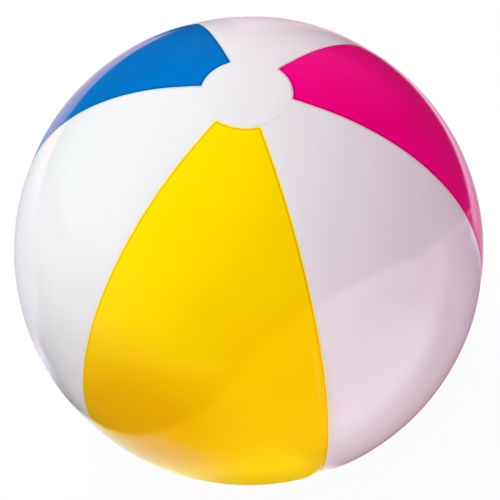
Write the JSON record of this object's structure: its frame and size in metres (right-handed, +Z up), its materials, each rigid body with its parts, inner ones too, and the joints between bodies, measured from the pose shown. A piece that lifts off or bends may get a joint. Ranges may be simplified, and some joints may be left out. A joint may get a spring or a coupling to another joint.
{
  "type": "inflatable beach ball",
  "caption": "Inflatable ball of coloured and white film gores, with round end discs and a push-in valve with a tethered plug.",
  "frame": {"origin": "centre of the inflated ball", "axes": "+Z up through the two end discs, -Y through the middle of the yellow gore, +Y out through the valve"},
  "size_m": [0.4, 0.3998, 0.3996],
  "materials": {
    "yellow_film": "smooth high-gloss vinyl film",
    "pink_film": "smooth high-gloss vinyl film",
    "blue_film": "smooth high-gloss vinyl film",
    "white_film": "smooth high-gloss vinyl film",
    "valve_vinyl": "milky soft vinyl, satin"
  },
  "bodies": {
    "ball": {"yellow_panel": "yellow_film", "white_panel_right": "white_film", "pink_panel": "pink_film", "white_panel_rear": "white_film", "blue_panel": "blue_film", "white_panel_left": "white_film", "top_disc": "white_film", "bottom_disc": "white_film", "valve_flange": "valve_vinyl", "valve_web": "valve_vinyl"},
    "stem": {"valve_stem": "valve_vinyl", "plug_strap": "valve_vinyl"},
    "plug": {"plug": "valve_vinyl"},
    "check_flap": {"check_flap": "valve_vinyl"}
  },
  "joints": [
    {"name": "stem_slide", "type": "slide", "parent": "ball", "child": "stem", "axis": [0, 1, 0], "range_m": [0, 0.017], "deforming": ["valve_web"]},
    {"name": "plug_hinge", "type": "hinge", "parent": "stem", "child": "plug", "pos_m": [0, 0.19657, 0.00845], "axis": [1, 0, 0], "range_deg": [0, 110], "deforming": ["plug_strap"]},
    {"name": "flap_hinge", "type": "hinge", "parent": "stem", "child": "check_flap", "pos_m": [0, 0.18365, 0.0052], "axis": [-1, 0, 0], "range_deg": [0, 60], "stiffness_Nm_per_rad": 0.0001, "springref_deg": -5.73}
  ]
}
